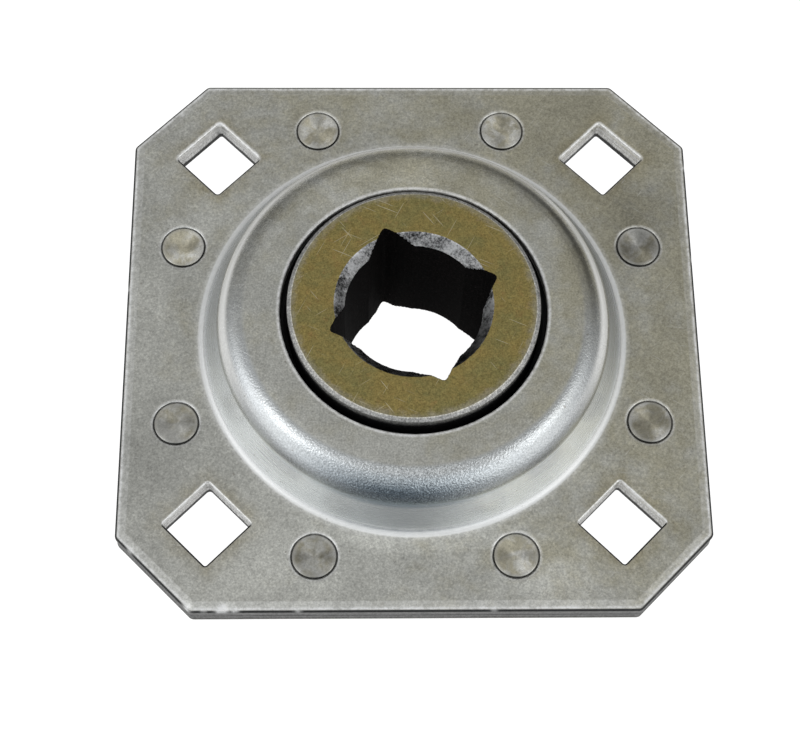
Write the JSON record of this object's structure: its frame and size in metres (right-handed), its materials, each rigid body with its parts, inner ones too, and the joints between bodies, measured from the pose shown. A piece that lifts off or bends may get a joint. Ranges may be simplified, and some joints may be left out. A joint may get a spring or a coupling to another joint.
{
  "type": "flange mount bearing",
  "caption": "Square riveted sheet-steel flange unit around a self-aligning sealed ball bearing with a broached square bore for a driven shaft.",
  "frame": {"origin": "centre of the bearing, on the seam between the two flanges", "axes": "+Z along the shaft axis, out of the front of the unit; +X and +Y along the sides of the square flanges"},
  "size_m": [0.1396, 0.1396, 0.0412],
  "materials": {
    "pressed_steel": "dull zinc-plated sheet, faint yellowish mottling, fine scratches",
    "rivet_steel": "bright, circular tool marks",
    "race_steel": "ground bearing steel",
    "inner_ring_steel": "ground steel with an olive-gold tint, fine scratches",
    "seal_case_steel": "pressed sheet",
    "seal_rubber": "matt black nitrile",
    "cage_steel": "pressed sheet",
    "cage_rivet_steel": "bright",
    "ball_steel": "polished"
  },
  "bodies": {
    "housing": {"front_flange": "pressed_steel", "rear_flange": "pressed_steel", "flange_rivet_1": "rivet_steel", "flange_rivet_2": "rivet_steel", "flange_rivet_3": "rivet_steel", "flange_rivet_4": "rivet_steel", "flange_rivet_5": "rivet_steel", "flange_rivet_6": "rivet_steel", "flange_rivet_7": "rivet_steel", "flange_rivet_8": "rivet_steel"},
    "outer_ring": {"outer_ring": "race_steel", "front_seal_case": "seal_case_steel", "rear_seal_case": "seal_case_steel", "front_seal_lip": "seal_rubber", "rear_seal_lip": "seal_rubber"},
    "inner_ring": {"inner_ring": "inner_ring_steel"},
    "cage": {"cage_front": "cage_steel", "cage_rear": "cage_steel", "cage_rivet_1": "cage_rivet_steel", "cage_rivet_2": "cage_rivet_steel", "cage_rivet_3": "cage_rivet_steel", "cage_rivet_4": "cage_rivet_steel", "cage_rivet_5": "cage_rivet_steel", "cage_rivet_6": "cage_rivet_steel", "cage_rivet_7": "cage_rivet_steel", "cage_rivet_8": "cage_rivet_steel", "cage_rivet_9": "cage_rivet_steel", "cage_rivet_10": "cage_rivet_steel"},
    "ball_1": {"ball_1": "ball_steel"},
    "ball_2": {"ball_2": "ball_steel"},
    "ball_3": {"ball_3": "ball_steel"},
    "ball_4": {"ball_4": "ball_steel"},
    "ball_5": {"ball_5": "ball_steel"},
    "ball_6": {"ball_6": "ball_steel"},
    "ball_7": {"ball_7": "ball_steel"},
    "ball_8": {"ball_8": "ball_steel"},
    "ball_9": {"ball_9": "ball_steel"},
    "ball_10": {"ball_10": "ball_steel"}
  },
  "joints": [
    {"name": "align_tilt", "type": "hinge", "parent": "housing", "child": "outer_ring", "pos_m": [0, 0, 0], "axis": [1, 0, 0], "range_deg": [-2.5, 2.5]},
    {"name": "inner_spin", "type": "hinge", "parent": "outer_ring", "child": "inner_ring", "pos_m": [0, 0, 0], "axis": [0, 0, 1], "continuous": true},
    {"name": "cage_spin", "type": "hinge", "parent": "outer_ring", "child": "cage", "pos_m": [0, 0, 0], "axis": [0, 0, 1], "continuous": true},
    {"name": "ball_1_spin", "type": "hinge", "parent": "cage", "child": "ball_1", "pos_m": [0.035, 0, 0], "axis": [0, 0, 1], "continuous": true},
    {"name": "ball_2_spin", "type": "hinge", "parent": "cage", "child": "ball_2", "pos_m": [0.02832, 0.02057, 0], "axis": [0, 0, 1], "continuous": true},
    {"name": "ball_3_spin", "type": "hinge", "parent": "cage", "child": "ball_3", "pos_m": [0.01082, 0.03329, 0], "axis": [0, 0, 1], "continuous": true},
    {"name": "ball_4_spin", "type": "hinge", "parent": "cage", "child": "ball_4", "pos_m": [-0.01082, 0.03329, 0], "axis": [0, 0, 1], "continuous": true},
    {"name": "ball_5_spin", "type": "hinge", "parent": "cage", "child": "ball_5", "pos_m": [-0.02832, 0.02057, 0], "axis": [0, 0, 1], "continuous": true},
    {"name": "ball_6_spin", "type": "hinge", "parent": "cage", "child": "ball_6", "pos_m": [-0.035, 0, 0], "axis": [0, 0, 1], "continuous": true},
    {"name": "ball_7_spin", "type": "hinge", "parent": "cage", "child": "ball_7", "pos_m": [-0.02832, -0.02057, 0], "axis": [0, 0, 1], "continuous": true},
    {"name": "ball_8_spin", "type": "hinge", "parent": "cage", "child": "ball_8", "pos_m": [-0.01082, -0.03329, 0], "axis": [0, 0, 1], "continuous": true},
    {"name": "ball_9_spin", "type": "hinge", "parent": "cage", "child": "ball_9", "pos_m": [0.01082, -0.03329, 0], "axis": [0, 0, 1], "continuous": true},
    {"name": "ball_10_spin", "type": "hinge", "parent": "cage", "child": "ball_10", "pos_m": [0.02832, -0.02057, 0], "axis": [0, 0, 1], "continuous": true}
  ],
  "couplings": [
    {"joint": "cage_spin", "follows": "inner_spin", "ratio": 0.40929},
    {"joint": "ball_1_spin", "follows": "inner_spin", "ratio": -2.6652},
    {"joint": "ball_2_spin", "follows": "inner_spin", "ratio": -2.6652},
    {"joint": "ball_3_spin", "follows": "inner_spin", "ratio": -2.6652},
    {"joint": "ball_4_spin", "follows": "inner_spin", "ratio": -2.6652},
    {"joint": "ball_5_spin", "follows": "inner_spin", "ratio": -2.6652},
    {"joint": "ball_6_spin", "follows": "inner_spin", "ratio": -2.6652},
    {"joint": "ball_7_spin", "follows": "inner_spin", "ratio": -2.6652},
    {"joint": "ball_8_spin", "follows": "inner_spin", "ratio": -2.6652},
    {"joint": "ball_9_spin", "follows": "inner_spin", "ratio": -2.6652},
    {"joint": "ball_10_spin", "follows": "inner_spin", "ratio": -2.6652}
  ]
}
